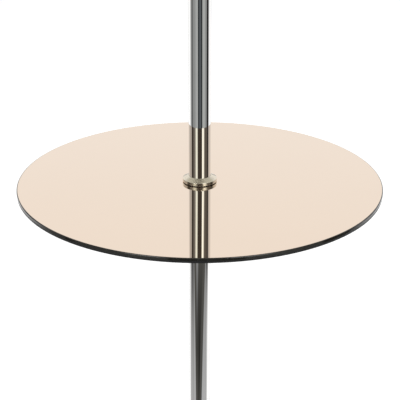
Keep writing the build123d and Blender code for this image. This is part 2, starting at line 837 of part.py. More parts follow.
# ---- finial ------------------------------------------------------------------------------
with BuildPart() as finial:
    ball_centre = finial_low + finial_height - finial_ball_radius
    waist_meets_ball = ball_centre - (finial_ball_radius ** 2 - finial_waist_radius ** 2) ** 0.5
    with BuildSketch(Plane.XZ):
        with BuildLine():
            foot = Polyline(
                (0, finial_low),
                (finial_foot_radius, finial_low),
                (finial_foot_radius, finial_low + finial_foot_height),
                (finial_waist_radius, finial_low + finial_foot_height + finial_cone_height),
                (finial_waist_radius, waist_meets_ball),
            )
            ball = ThreePointArc(
                foot @ 1, (finial_ball_radius, ball_centre), (0, ball_centre + finial_ball_radius)
            )
            Line(ball @ 1, foot @ 0)
        make_face()
    revolve(axis=Axis.Z)
    with BuildSketch(Plane.XY.offset(finial_low)):
        Circle(stud_radius + thread_gap)
    extrude(amount=finial_bore_depth, mode=Mode.SUBTRACT)

# ---- files -------------------------------------------------------------------------------
pieces = {
    "base_felt": base_felt,
    "base_weight": base_weight,
    "base_cover": base_cover,
    "cord_grommet": cord_grommet,
    "base_washer": base_washer,
    "base_lock_washer": base_lock_washer,
    "base_nut": base_nut,
    "base_pipe": base_pipe,
    "foot_ring": foot_ring,
    "lower_tube": lower_tube,
    "lower_tube_foot_bush": lower_tube_foot_bush,
    "lower_tube_head_bush": lower_tube_head_bush,
    "table_flange": table_flange,
    "table_flange_gasket": table_flange_gasket,
    "table_board": table_board,
    "table_mirror": table_mirror,
    "table_sleeve": table_sleeve,
    "table_pipe": table_pipe,
    "table_ring_gasket": table_ring_gasket,
    "table_ring": table_ring,
    "upper_tube": upper_tube,
    "upper_tube_foot_bush": upper_tube_foot_bush,
    "upper_tube_head_bush": upper_tube_head_bush,
    "neck_cap": neck_cap,
    "head_pipe": head_pipe,
    "harp_saddle": harp_saddle,
    "harp": harp,
    "harp_swivel": harp_swivel,
    "harp_sleeve_left": harp_sleeve_left,
    "harp_sleeve_right": harp_sleeve_right,
    "socket_cap": socket_cap,
    "socket_shell": socket_shell,
    "socket_liner": socket_liner,
    "socket_body": socket_body,
    "socket_terminals": socket_terminals,
    "socket_screw_shell": socket_screw_shell,
    "socket_contact": socket_contact,
    "switch_stem": switch_stem,
    "switch_knob": switch_knob,
    "bulb_glass": bulb_glass,
    "bulb_cap": bulb_cap,
    "bulb_insulator": bulb_insulator,
    "bulb_contact": bulb_contact,
    "shade_fabric": shade_fabric,
    "shade_liner": shade_liner,
    "shade_top_ring": shade_top_ring,
    "shade_bottom_ring": shade_bottom_ring,
    "shade_top_trim": shade_top_trim,
    "shade_bottom_trim": shade_bottom_trim,
    "shade_spider": shade_spider,
    "finial": finial,
}

os.makedirs("parts", exist_ok=True)
for name, piece in pieces.items():
    piece.part.label = name
    export_step(piece.part, f"parts/{name}.step")
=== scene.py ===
import json
import math

import bmesh
import bpy
import numpy as np
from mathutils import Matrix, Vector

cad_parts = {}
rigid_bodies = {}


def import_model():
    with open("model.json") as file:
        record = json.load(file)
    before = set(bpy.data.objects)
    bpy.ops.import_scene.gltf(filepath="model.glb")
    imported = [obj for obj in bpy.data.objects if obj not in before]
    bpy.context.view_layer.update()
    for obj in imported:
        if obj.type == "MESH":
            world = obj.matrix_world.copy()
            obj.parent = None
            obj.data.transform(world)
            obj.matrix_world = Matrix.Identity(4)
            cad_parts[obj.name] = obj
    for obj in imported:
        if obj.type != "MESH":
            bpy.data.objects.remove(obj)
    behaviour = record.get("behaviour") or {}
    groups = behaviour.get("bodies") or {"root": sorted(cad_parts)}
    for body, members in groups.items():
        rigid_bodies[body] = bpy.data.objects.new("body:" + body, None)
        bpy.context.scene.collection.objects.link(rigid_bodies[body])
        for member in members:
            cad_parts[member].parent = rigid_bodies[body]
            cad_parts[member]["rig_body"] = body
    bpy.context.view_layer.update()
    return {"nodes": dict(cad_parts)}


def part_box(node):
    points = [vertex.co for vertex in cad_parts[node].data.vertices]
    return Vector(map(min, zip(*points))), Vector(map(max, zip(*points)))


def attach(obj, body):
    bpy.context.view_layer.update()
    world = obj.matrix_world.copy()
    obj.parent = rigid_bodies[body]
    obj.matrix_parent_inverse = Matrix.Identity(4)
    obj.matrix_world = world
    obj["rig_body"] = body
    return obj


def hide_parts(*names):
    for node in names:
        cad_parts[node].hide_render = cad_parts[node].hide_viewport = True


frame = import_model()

scene = bpy.context.scene
millimetre = 0.001
weldDistance = 1e-7                                                   # metres


# surfaces

def roundedProfile(corners, arcSteps=7, hold=0.03):
    # A closed outline of (radius, height, rounding) corners in millimetres. Each corner is swapped
    # for the circle arc that touches both its sides, and a point just outside each end of the arc
    # keeps the flats flat under smooth shading. Points are complex numbers: radius + i height.
    data = np.array(corners, float) * millimetre
    points, rounding = data[:, 0] + 1j * data[:, 1], data[:, 2]
    into = points - np.roll(points, 1)
    into /= abs(into)
    out = np.roll(into, -1)
    turn = np.angle(out / into)
    start = points - into * rounding * np.tan(abs(turn) / 2)
    centre = start + 1j * into * rounding * np.sign(turn)
    share = np.linspace(0, 1, arcSteps)
    arcs = centre[:, None] + (start - centre)[:, None] * np.exp(1j * turn[:, None] * share)
    first = arcs[:, :1] - into[:, None] * hold * millimetre
    last = arcs[:, -1:] + out[:, None] * hold * millimetre
    line = np.concatenate([first, arcs, last], axis=1).ravel()
    return np.append(line, line[0])


def fullTurn(steps):
    return np.linspace(0, 2 * np.pi, steps + 1)


def turnedGrid(profile, angles):
    # The profile carried round the Z axis: x = radius cos a, y = radius sin a, z = height. Its
    # second axis, where it has one, is its change with the angle. The last column repeats the first.
    profile = profile.reshape(len(profile), -1)
    profile = np.broadcast_to(profile, (len(profile), len(angles)))
    return np.stack([profile.real * np.cos(angles), profile.real * np.sin(angles), profile.imag], axis=-1)


def eased(value, low, high):
    # 0 below low, 1 above high, and a smooth S between.
    share = np.clip((value - low) / (high - low), 0, 1)
    return share * share * (3 - 2 * share)


def levels(node):
    # The lowest and highest level of a CAD node, in millimetres.
    return tuple(corner[2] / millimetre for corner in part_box(node))


def surfacePiece(name, grid, finishes, faceFinish=None, uv=None, lookUp=False):
    # Joins the points of a grid with four-sided faces, then welds seams and poles. A closed shape
    # faces outwards; lookUp is for an open level sheet.
    rows, columns = grid.shape[:2]
    corner = np.arange(rows * columns).reshape(rows, columns)
    faces = np.stack([corner[:-1, :-1], corner[:-1, 1:], corner[1:, 1:], corner[1:, :-1]], axis=-1)
    faces = faces.reshape(-1, 4)
    mesh = bpy.data.meshes.new(name)
    mesh.from_pydata(grid.reshape(-1, 3), [], faces)
    for finish in finishes:
        mesh.materials.append(finish)
    if faceFinish is not None:
        mesh.polygons.foreach_set("material_index", faceFinish.ravel().astype(np.int32))
    if uv is not None:
        layer = mesh.uv_layers.new(name="Cloth")
        layer.data.foreach_set("uv", uv.reshape(-1, 2)[faces.ravel()].astype(np.float32).ravel())
    work = bmesh.new()
    work.from_mesh(mesh)
    bmesh.ops.remove_doubles(work, verts=work.verts, dist=weldDistance)
    bmesh.ops.delete(work, geom=[e for e in work.edges if not e.link_faces], context="EDGES")
    bmesh.ops.recalc_face_normals(work, faces=work.faces)
    work.faces.ensure_lookup_table()
    if lookUp and work.faces[0].normal.z < 0:
        bmesh.ops.reverse_faces(work, faces=work.faces)
    work.to_mesh(mesh)
    work.free()
    mesh.shade_smooth()
    piece = bpy.data.objects.new(name, mesh)
    scene.collection.objects.link(piece)
    return piece


def standIn(piece, node):
    # The piece shows in place of a CAD node, and rides on the body that the node is on.
    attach(piece, frame["nodes"][node]["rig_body"])
    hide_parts(node)
    return piece


# shader helpers

def addNode(tree, kind, inputs=None, **settings):
    made = tree.nodes.new("ShaderNode" + kind)
    for key, value in settings.items():
        setattr(made, key, value)
    for key, value in (inputs or {}).items():
        if isinstance(value, bpy.types.NodeSocket):
            tree.links.new(value, made.inputs[key])
        else:
            made.inputs[key].default_value = value
    return made


def reckon(tree, operation, a, b=0.0, c=0.0):
    return addNode(tree, "Math", {0: a, 1: b, 2: c}, operation=operation).outputs[0]


def between(tree, value, low, high, toLow=0.0, toHigh=1.0):
    inputs = {"Value": value, "From Min": low, "From Max": high, "To Min": toLow, "To Max": toHigh}
    return addNode(tree, "MapRange", inputs, interpolation_type="SMOOTHSTEP").outputs["Result"]


def mixNumber(tree, share, a, b):
    return addNode(tree, "Mix", {0: share, 2: a, 3: b}, data_type="FLOAT").outputs[0]


def mixColour(tree, share, a, b, blend="MIX"):
    a = (*a, 1) if isinstance(a, tuple) else a
    b = (*b, 1) if isinstance(b, tuple) else b
    made = addNode(tree, "Mix", {0: share, 6: a, 7: b}, data_type="RGBA", blend_type=blend)
    return made.outputs[2]


def effectGroup(name, inputs, outputs):
    group = bpy.data.node_groups.new(name, "ShaderNodeTree")
    for label, value in inputs.items():
        socket = group.interface.new_socket(label, in_out="INPUT", socket_type="NodeSocketFloat")
        socket.default_value = value
    for label in outputs:
        group.interface.new_socket(label, in_out="OUTPUT", socket_type="NodeSocketFloat")
    return group, group.nodes.new("NodeGroupInput"), group.nodes.new("NodeGroupOutput")


def place(tree, group, **values):
    made = tree.nodes.new("ShaderNodeGroup")
    made.node_tree = group
    for key, value in values.items():
        made.inputs[key].default_value = value
    return made


def noise(tree, vector, scale, detail, roughness=0.5, distortion=0.0):
    inputs = {"Vector": vector, "Scale": scale, "Detail": detail, "Roughness": roughness,
              "Distortion": distortion}
    return addNode(tree, "TexNoise", inputs).outputs["Fac"]


def addRelief(tree, shader, depth, height):
    # The depth is in millimetres.
    bump = addNode(tree, "Bump", {"Strength": 1.0, "Distance": depth * millimetre, "Height": height})
    tree.links.new(bump.outputs[0], shader.inputs["Normal"])


def stretched(tree, vector, x, y, z):
    return addNode(tree, "VectorMath", {0: vector, 1: (x, y, z)}, operation="MULTIPLY").outputs[0]


# shared effects

def makeHandling():
    # Wiped smudges and hair-fine rubbing lines. Sizes are in metres.
    group, given, result = effectGroup("handling", {"smudgeSize": 0.04, "lineSpacing": 0.0008},
                                       ["smudge", "lines"])
    where = addNode(group, "TexCoord").outputs["Object"]
    cloud = noise(group, where, reckon(group, "DIVIDE", 1.0, given.outputs[0]), 5.0, 0.62, 0.6)
    group.links.new(between(group, cloud, 0.44, 0.72), result.inputs["smudge"])
    frequency = reckon(group, "DIVIDE", 1.0, given.outputs[1])
    hair = noise(group, stretched(group, where, 1.0, 1.0, 0.035), frequency, 2.0, distortion=0.25)
    group.links.new(between(group, hair, 0.60, 0.70), result.inputs["lines"])
    return group


def makeTurning():
    # Tool marks of a lathe: they change with the distance from the Z axis and with height only.
    group, given, result = effectGroup("turning", {"spacing": 0.0003}, ["height", "tone"])
    where = addNode(group, "SeparateXYZ", {0: addNode(group, "TexCoord").outputs["Object"]})
    squares = [reckon(group, "MULTIPLY", where.outputs[axis], where.outputs[axis]) for axis in (0, 1)]
    radius = reckon(group, "SQRT", reckon(group, "ADD", *squares))
    flat = addNode(group, "CombineXYZ", {0: reckon(group, "DIVIDE", radius, given.outputs[0]),
                                         1: reckon(group, "DIVIDE", where.outputs[2], given.outputs[0])})
    fine = noise(group, flat.outputs[0], 1.0, 2.0, 0.6)
    broad = noise(group, flat.outputs[0], 0.22, 1.0)
    group.links.new(fine, result.inputs["height"])
    group.links.new(between(group, broad, 0.35, 0.65), result.inputs["tone"])
    return group


def makeDust():
    # A thin film of dust on faces that look up, thicker in patches.
    group, given, result = effectGroup("dust", {"patchSize": 0.03}, ["mask"])
    up = addNode(group, "SeparateXYZ", {0: addNode(group, "NewGeometry").outputs["Normal"]}).outputs[2]
    where = addNode(group, "TexCoord").outputs["Object"]
    patch = noise(group, where, reckon(group, "DIVIDE", 1.0, given.outputs[0]), 8.0, 0.7)
    film = reckon(group, "MULTIPLY", between(group, up, 0.35, 0.95), between(group, patch, 0.38, 0.75))
    group.links.new(film, result.inputs["mask"])
    return group


def makeGrain():
    # The skin of a casting or moulding: rounded grains of one size over a slow swell.
    group, given, result = effectGroup("grain", {"grainSize": 0.0008}, ["height", "tone"])
    where = addNode(group, "TexCoord").outputs["Object"]
    frequency = reckon(group, "DIVIDE", 1.0, given.outputs[0])
    cells = addNode(group, "TexVoronoi", {"Vector": where, "Scale": frequency}, feature="SMOOTH_F1")
    swell = noise(group, where, reckon(group, "MULTIPLY", frequency, 0.17), 4.0)
    group.links.new(reckon(group, "ADD", cells.outputs["Distance"], swell), result.inputs["height"])
    group.links.new(swell, result.inputs["tone"])
    return group


def makeThreadCut():
    # A screw's groove on the outside of a rod on the Z axis: a cosine in height that climbs one pitch
    # for each turn.
    group, given, result = effectGroup("threadCut", {"pitch": 0.00094}, ["height", "valley"])
    where = addNode(group, "SeparateXYZ", {0: addNode(group, "TexCoord").outputs["Object"]}).outputs
    turn = reckon(group, "ARCTAN2", where[1], where[0])
    climb = reckon(group, "MULTIPLY", reckon(group, "DIVIDE", where[2], given.outputs[0]), 2 * math.pi)
    wave = reckon(group, "COSINE", reckon(group, "SUBTRACT", climb, turn))
    group.links.new(reckon(group, "MULTIPLY_ADD", wave, 0.5, 0.5), result.inputs["height"])
    group.links.new(between(group, wave, -0.2, -1.0), result.inputs["valley"])
    return group


def makeWeave():
    # Plain weave on the Cloth map, which is in metres: each thread is a rounded rib that dives under
    # every second crossing thread. Slubs are long thicker places in the yarn, one set each way.
    group, given, result = effectGroup("weave", {"pitch": 0.0006, "slubLength": 0.09},
                                       ["height", "tone", "slub"])
    where = addNode(group, "SeparateXYZ", {0: addNode(group, "UVMap", uv_map="Cloth").outputs[0]})
    across = reckon(group, "DIVIDE", where.outputs[0], given.outputs[0])
    along = reckon(group, "DIVIDE", where.outputs[1], given.outputs[0])
    ribs = []
    for threads in (across, along):
        halfTurn = reckon(group, "MULTIPLY", reckon(group, "FRACT", threads), math.pi)
        ribs.append(reckon(group, "SINE", halfTurn))
    crossing = reckon(group, "ADD", reckon(group, "FLOOR", across), reckon(group, "FLOOR", along))
    parity = reckon(group, "MODULO", crossing, 2.0)
    over = mixNumber(group, reckon(group, "ABSOLUTE", parity), ribs[0], ribs[1])
    slubs = []
    for u, v in ((0.5, 0.004), (0.004, 0.5)):
        cell = addNode(group, "CombineXYZ",
                       {0: reckon(group, "MULTIPLY", across, u), 1: reckon(group, "MULTIPLY", along, v)})
        slubs.append(noise(group, cell.outputs[0], 1.0, 2.0))
    yarnTone = reckon(group, "MULTIPLY", reckon(group, "ADD", slubs[0], slubs[1]), 0.5)
    thick = reckon(group, "MAXIMUM", between(group, slubs[0], 0.60, 0.74),
                   between(group, slubs[1], 0.60, 0.74))
    slubHeight = 0.9                                                  # of a thread's own
    group.links.new(reckon(group, "ADD", over, reckon(group, "MULTIPLY", thick, slubHeight)),
                    result.inputs["height"])
    group.links.new(yarnTone, result.inputs["tone"])
    group.links.new(thick, result.inputs["slub"])
    return group


handling, turning, dust, grain = makeHandling(), makeTurning(), makeDust(), makeGrain()
threadCut, weave = makeThreadCut(), makeWeave()
print("effects made")


# finishes

dustColour = (0.62, 0.60, 0.57)
threadValleyTone = (0.07, 0.065, 0.055)


def newFinish(name, **plain):
    finish = bpy.data.materials.new(name)
    finish.use_nodes = True
    tree = finish.node_tree
    tree.nodes.clear()
    shader = addNode(tree, "BsdfPrincipled")
    for label, value in plain.items():
        shader.inputs[label.replace("_", " ")].default_value = value
    tree.links.new(shader.outputs[0], addNode(tree, "OutputMaterial").inputs["Surface"])
    return finish, tree, shader


def metalFinish(name, look):
    # Plated or bare metal: rubbing and smudges change its gloss, dust pales the faces that look up.
    finish, tree, shader = newFinish(name, Metallic=1.0)
    touched = place(tree, handling, smudgeSize=look.get("smudgeSize", 0.04),
                    lineSpacing=look.get("lineSpacing", 0.0008))
    settled = place(tree, dust, patchSize=0.03)
    deeper = tuple(channel * (1 - look.get("tarnish", 0.06)) for channel in look["colour"])
    tone = mixColour(tree, touched.outputs["smudge"], look["colour"], deeper)
    roughness = mixNumber(tree, touched.outputs["smudge"], look["roughness"],
                          look["roughness"] + look["smudge"])
    roughness = reckon(tree, "MULTIPLY_ADD", touched.outputs["lines"], look.get("rubbing", 0.02), roughness)
    if look.get("turning"):
        marks = place(tree, turning, spacing=look.get("spacing", 0.0003))
        tone = mixColour(tree, reckon(tree, "MULTIPLY", marks.outputs["tone"], 0.5), tone, deeper)
        addRelief(tree, shader, look["turning"], marks.outputs["height"])
    if look.get("grain"):
        skin = place(tree, grain, grainSize=look["grainSize"])
        addRelief(tree, shader, look["grain"], skin.outputs["height"])
    if look.get("thread"):
        cut = place(tree, threadCut, pitch=look["pitch"] * millimetre)
        # The thread's valleys are coloured darker.
        tone = mixColour(tree, cut.outputs["valley"], tone, threadValleyTone)
        addRelief(tree, shader, look["thread"], cut.outputs["height"])
    film = reckon(tree, "MULTIPLY", settled.outputs["mask"], look.get("dust", 0.02))
    tree.links.new(mixColour(tree, film, tone, dustColour), shader.inputs["Base Color"])
    tree.links.new(reckon(tree, "ADD", roughness, reckon(tree, "MULTIPLY", film, 0.5)),
                   shader.inputs["Roughness"])
    return finish


def mouldedFinish(name, look):
    # Plastic, rubber, fibre, enamel or castings: a grained skin, worn smoother in the smudged places.
    finish, tree, shader = newFinish(name)
    shader.inputs["IOR"].default_value = look.get("refraction", 1.5)
    shader.inputs["Coat Weight"].default_value = look.get("coat", 0.0)
    shader.inputs["Coat Roughness"].default_value = 0.12
    skin = place(tree, grain, grainSize=look.get("grainSize", 0.0006))
    touched = place(tree, handling, smudgeSize=look.get("smudgeSize", 0.03))
    settled = place(tree, dust, patchSize=0.02)
    other = tuple(channel * look.get("variation", 0.8) for channel in look["colour"])
    tone = mixColour(tree, between(tree, skin.outputs["tone"], 0.3, 0.7), look["colour"], other)
    film = reckon(tree, "MULTIPLY", settled.outputs["mask"], look.get("dust", 0.05))
    tree.links.new(mixColour(tree, film, tone, dustColour), shader.inputs["Base Color"])
    worn = mixNumber(tree, touched.outputs["smudge"], look["roughness"], look["roughness"] * 0.8)
    tree.links.new(worn, shader.inputs["Roughness"])
    addRelief(tree, shader, look.get("depth", 0.03), skin.outputs["height"])
    return finish


def clothFinish(name, look):
    # Woven yarn: thread tones and relief from the weave, painted shade in its hollows, and a soft sheen at
    # grazing angles.
    finish, tree, shader = newFinish(name, Roughness=0.92)
    shader.inputs["Sheen Weight"].default_value = look["sheen"]
    shader.inputs["Sheen Roughness"].default_value = 0.5
    shader.inputs["Specular IOR Level"].default_value = 0.25
    cloth = place(tree, weave, pitch=look["pitch"] * millimetre)
    yarn = mixColour(tree, between(tree, cloth.outputs["tone"], 0.36, 0.64), look["colour"], look["paleYarn"])
    yarn = mixColour(tree, reckon(tree, "MULTIPLY", cloth.outputs["slub"], look["slubs"]), yarn,
                     look["darkYarn"])
    # Painted shade: the yarn's colour is darkened where the weave lies low.
    valley = between(tree, cloth.outputs["height"], 0.05, 0.75, 0.88, 1.0)
    shaded = addNode(tree, "VectorMath", {0: yarn, 3: valley}, operation="SCALE").outputs[0]
    tree.links.new(shaded, shader.inputs["Base Color"])
    addRelief(tree, shader, look["relief"], cloth.outputs["height"])
    return finish


chromeLook = {"colour": (0.78, 0.775, 0.765), "roughness": 0.012, "smudge": 0.03, "rubbing": 0.008,
              "tarnish": 0.03}
nickelLook = {"colour": (0.73, 0.675, 0.58), "roughness": 0.20, "smudge": 0.03, "turning": 0.0025,
              "spacing": 0.00035, "tarnish": 0.15, "smudgeSize": 0.012}
harpLook = {"colour": (0.66, 0.65, 0.62), "roughness": 0.24, "smudge": 0.08, "rubbing": 0.06, "tarnish": 0.12}
socketLook = {"colour": (0.74, 0.73, 0.70), "roughness": 0.10, "smudge": 0.08, "turning": 0.002,
              "spacing": 0.0004}
brassLook = {"colour": (0.80, 0.62, 0.30), "roughness": 0.20, "smudge": 0.12, "turning": 0.004,
             "tarnish": 0.35}
zincLook = {"colour": (0.60, 0.60, 0.58), "roughness": 0.34, "smudge": 0.10, "grain": 0.012,
            "grainSize": 0.0012, "tarnish": 0.2}
pipeLook = {"colour": (0.60, 0.60, 0.58), "roughness": 0.30, "smudge": 0.10, "tarnish": 0.2, "thread": 0.4,
            "pitch": 0.94}
capLook = {"colour": (0.72, 0.72, 0.70), "roughness": 0.26, "smudge": 0.12, "tarnish": 0.2}
castLook = {"colour": (0.035, 0.035, 0.036), "roughness": 0.62, "depth": 0.22, "grainSize": 0.0016,
            "dust": 0.2}
rubberLook = {"colour": (0.022, 0.022, 0.022), "roughness": 0.7, "depth": 0.02, "grainSize": 0.0005,
              "dust": 0.12}
boardLook = {"colour": (0.018, 0.018, 0.018), "roughness": 0.45, "depth": 0.03, "grainSize": 0.0009}
phenolicLook = {"colour": (0.045, 0.034, 0.028), "roughness": 0.32, "depth": 0.012, "grainSize": 0.0009,
                "coat": 0.2}
knobLook = {"colour": (0.016, 0.016, 0.016), "roughness": 0.30, "depth": 0.010, "grainSize": 0.0007,
            "coat": 0.3}
nylonLook = {"colour": (0.80, 0.80, 0.76), "roughness": 0.42, "depth": 0.015, "variation": 0.94}
fibreLook = {"colour": (0.26, 0.20, 0.13), "roughness": 0.75, "depth": 0.05, "grainSize": 0.0011,
             "variation": 0.7}
styreneLook = {"colour": (0.90, 0.895, 0.87), "roughness": 0.48, "depth": 0.010, "grainSize": 0.0015,
               "variation": 0.97, "dust": 0.03}
wireLook = {"colour": (0.86, 0.86, 0.84), "roughness": 0.38, "depth": 0.02, "grainSize": 0.0007,
            "variation": 0.95, "coat": 0.3}
linenLook = {"colour": (0.83, 0.80, 0.725), "paleYarn": (0.89, 0.87, 0.81), "darkYarn": (0.70, 0.655, 0.56),
             "pitch": 0.62, "relief": 0.16, "slubs": 0.55, "sheen": 0.25}
tapeLook = {"colour": (0.81, 0.775, 0.695), "paleYarn": (0.87, 0.84, 0.77), "darkYarn": (0.70, 0.65, 0.56),
            "pitch": 0.5, "relief": 0.14, "slubs": 0.4, "sheen": 0.25}
mirrorLook = {"colour": (0.830, 0.660, 0.510), "smudged": (0.824, 0.655, 0.506)}
edgeLook = {"colour": (0.012, 0.011, 0.009), "scuffed": (0.022, 0.022, 0.018), "roughness": 0.05,
            "dulled": 0.14}
feltLook = {"shadedHollow": (0.018, 0.018, 0.019), "fibre": (0.055, 0.055, 0.057), "relief": 0.25}
bulbLook = {"thin": (0.86, 0.86, 0.84), "thick": (0.90, 0.90, 0.885), "clouds": 55.0}


def mirrorFinish():
    # Peach glass over silver: a metal of the glass's own colour under a clear, slightly handled face.
    finish, tree, shader = newFinish("peachMirror", Metallic=1.0, Roughness=0.0,
                                     Coat_Weight=1.0, Coat_IOR=1.5, Coat_Roughness=0.0)
    touched = place(tree, handling, smudgeSize=0.09, lineSpacing=0.002)
    colour = mixColour(tree, touched.outputs["smudge"], mirrorLook["colour"], mirrorLook["smudged"])
    tree.links.new(colour, shader.inputs["Base Color"])
    return finish


def glassEdgeFinish():
    # The polished edge shows the dark depth of the plate, a touch green where it is scuffed.
    finish, tree, shader = newFinish("glassEdge", IOR=1.52)
    touched = place(tree, handling, smudgeSize=0.008, lineSpacing=0.0006)
    scuffs = touched.outputs["smudge"]
    tree.links.new(mixColour(tree, scuffs, edgeLook["colour"], edgeLook["scuffed"]),
                   shader.inputs["Base Color"])
    tree.links.new(mixNumber(tree, scuffs, edgeLook["roughness"], edgeLook["dulled"]),
                   shader.inputs["Roughness"])
    return finish


def feltFinish():
    # Pressed wool: matted fibres in every direction, lint caught in it.
    finish, tree, shader = newFinish("woolFelt", Roughness=1.0)
    shader.inputs["Sheen Weight"].default_value = 0.35
    shader.inputs["Sheen Roughness"].default_value = 0.6
    where = addNode(tree, "TexCoord").outputs["Object"]
    fibres = [noise(tree, stretched(tree, where, *scale), 1.0, 5.0, distortion=1.5)
              for scale in ((1400, 260, 900), (260, 1400, 900))]
    matted = reckon(tree, "MAXIMUM", *fibres)
    # Painted shade: the colour is darker where the fibre relief lies low.
    colour = mixColour(tree, between(tree, matted, 0.5, 0.8), feltLook["shadedHollow"], feltLook["fibre"])
    tree.links.new(colour, shader.inputs["Base Color"])
    addRelief(tree, shader, feltLook["relief"], matted)
    return finish


def bulbFinish():
    # Soft white coating behind clear glass: faint clouds in the coating, glossy outside.
    finish, tree, shader = newFinish("softWhiteGlass", Roughness=0.35,
                                     Coat_Weight=0.6, Coat_Roughness=0.03, Coat_IOR=1.5)
    where = addNode(tree, "TexCoord").outputs["Object"]
    coating = between(tree, noise(tree, where, bulbLook["clouds"], 6.0, 0.6), 0.35, 0.65)
    tree.links.new(mixColour(tree, coating, bulbLook["thin"], bulbLook["thick"]), shader.inputs["Base Color"])
    return finish


finishes = {"chrome": metalFinish("polishedChrome", chromeLook),
            "nickel": metalFinish("turnedNickel", nickelLook),
            "harp_nickel": metalFinish("satinNickel", harpLook),
            "socket_nickel": metalFinish("spunNickel", socketLook),
            "brass": metalFinish("plainBrass", brassLook), "zinc_steel": metalFinish("zincPlate", zincLook),
            "bulb_cap": metalFinish("tinnedCap", capLook),
            "cast_iron": mouldedFinish("primedIron", castLook),
            "black_rubber": mouldedFinish("mattRubber", rubberLook),
            "black_board": mouldedFinish("satinBoard", boardLook),
            "phenolic": mouldedFinish("phenolicMoulding", phenolicLook),
            "black_knob": mouldedFinish("glossKnob", knobLook),
            "nylon": mouldedFinish("milkNylon", nylonLook),
            "card_liner": mouldedFinish("fibreCard", fibreLook),
            "shade_styrene": mouldedFinish("whiteStyrene", styreneLook),
            "shade_steel": mouldedFinish("whiteWire", wireLook),
            "shade_linen": clothFinish("slubLinen", linenLook),
            "shade_tape": clothFinish("linenTape", tapeLook), "peach_mirror": mirrorFinish(),
            "felt": feltFinish(), "frosted_glass": bulbFinish()}
for node in frame["nodes"].values():
    for held in node.material_slots:
        held.material = finishes[held.material.name]
for name in ("base_pipe", "table_pipe", "head_pipe"):
    frame["nodes"][name].material_slots[0].material = metalFinish("threadedSteel", pipeLook)
print("finishes made:", len(finishes))


# rings round the pole

poleRing = {"radius": 19.6, "band": 3.6, "floor": 2.0, "footEdge": 0.2, "coneEdge": 0.35, "tube": 12.75,
            "tubeEdge": 0.15, "pipe": 5.2, "steps": 180}


def makePoleRing(name, node, size):
    # Straight side, cone up to the tube, and the floor that the tube stands on.
    low, high = levels(node)
    corners = [(size["pipe"], low, 0.0), (size["radius"], low, size["footEdge"]),
               (size["radius"], low + size["band"], size["coneEdge"]), (size["tube"], high, size["tubeEdge"]),
               (size["tube"], low + size["floor"], 0.0), (size["pipe"], low + size["floor"], 0.0)]
    grid = turnedGrid(roundedProfile(corners), fullTurn(size["steps"]))
    return standIn(surfacePiece(name, grid, [finishes["nickel"]]), node)


makePoleRing("tableRing", "table_ring", poleRing)
makePoleRing("footRing", "foot_ring", poleRing)
print("rings made")


# table glass

tableGlass = {"radius": 210.0, "hole": 6.2, "outerEdge": 1.1, "underEdge": 0.12, "holeEdge": 0.3,
              "flatness": 0.02, "steps": 360}


def makeTableGlass(size):
    low, high = levels("table_mirror")
    corners = [(size["hole"], low, 0.0), (size["radius"], low, size["underEdge"]),
               (size["radius"], high, size["outerEdge"]), (size["hole"], high, size["holeEdge"])]
    profile = roundedProfile(corners, arcSteps=13)
    grid = turnedGrid(profile, fullTurn(size["steps"]))
    middle = (profile[:-1] + profile[1:]) / 2 / millimetre
    silvered = (middle.imag > high - size["flatness"]) & (middle.real < size["radius"] - size["outerEdge"])
    rows = np.repeat(np.where(silvered, 0, 1)[:, None], size["steps"], axis=1)
    return surfacePiece("tableGlass", grid, [finishes["peach_mirror"], glassEdgeFinish()], rows)


standIn(makeTableGlass(tableGlass), "table_mirror")
print("table glass made")


# felt under the base

feltPad = {"radius": 142.0, "flatShare": 0.9, "rounding": 0.8, "ragged": 0.35, "steps": 360}


def makeFelt(size):
    # A disc with a soft edge, whose cut line strays a little from the circle: the radius is
    # lessened by a sum of waves round the rim, all the more towards the rim.
    low, high = levels("base_felt")
    inner = size["radius"] * size["flatShare"]
    corners = [(0.0, low, 0.0), (inner, low, 0.0), (size["radius"], low, size["rounding"]),
               (size["radius"], high, size["rounding"]), (inner, high, 0.0), (0.0, high, 0.0)]
    profile, angles = roundedProfile(corners), fullTurn(size["steps"])
    waves = 2.2 + np.sin(23 * angles) + 0.7 * np.sin(61 * angles + 1) + 0.5 * np.sin(131 * angles + 2)
    strays = waves / 4.4                                              # from 0 to 1
    towardsRim = eased(profile.real / millimetre, inner, size["radius"])
    profile = profile[:, None] - size["ragged"] * millimetre * towardsRim[:, None] * strays
    return surfacePiece("feltPad", turnedGrid(profile, angles), [finishes["felt"]])


felt = standIn(makeFelt(feltPad), "base_felt")
print("felt made")


# bulb, screwed into its shell

bulb = {"ball": 30.0, "neck": 12.5, "lean": 30.0, "bend": 25.0, "wall": 1.0, "innerNeck": 11.6, "flare": 4.0}
bulbCap = {"radius": 12.95, "foot": 9.0, "cone": 2.0, "wall": 0.4, "depth": 0.75, "skirt": 2.0}
screwShell = {"radius": 13.6, "hole": 9.0, "wall": 0.5, "depth": 0.65, "rim": 1.5}
screwThread = {"pitch": 3.629, "startsAbove": 2.2, "steps": 120, "rows": 90}
capLow, capHigh = levels("bulb_cap")
threadStart = capLow + screwThread["startsAbove"]


def threadDip(profile, angles, depth, last):
    # How far a rolled thread dips below its crest: half a cosine in height that climbs one pitch for
    # each turn, faded in and out over one pitch at its ends.
    pitch, height = screwThread["pitch"], profile.imag[:, None]
    fade = eased(height, threadStart, threadStart + pitch) * (1 - eased(height, last - pitch, last))
    return depth * fade * (0.5 - 0.5 * np.cos(2 * np.pi * height / pitch - angles))


def threadedPiece(name, outline, depth, last, finish):
    angles = fullTurn(screwThread["steps"])
    profile = (outline[:, None] - threadDip(outline, angles, depth, last)) * millimetre
    return surfacePiece(name, turnedGrid(profile, angles), [finish])


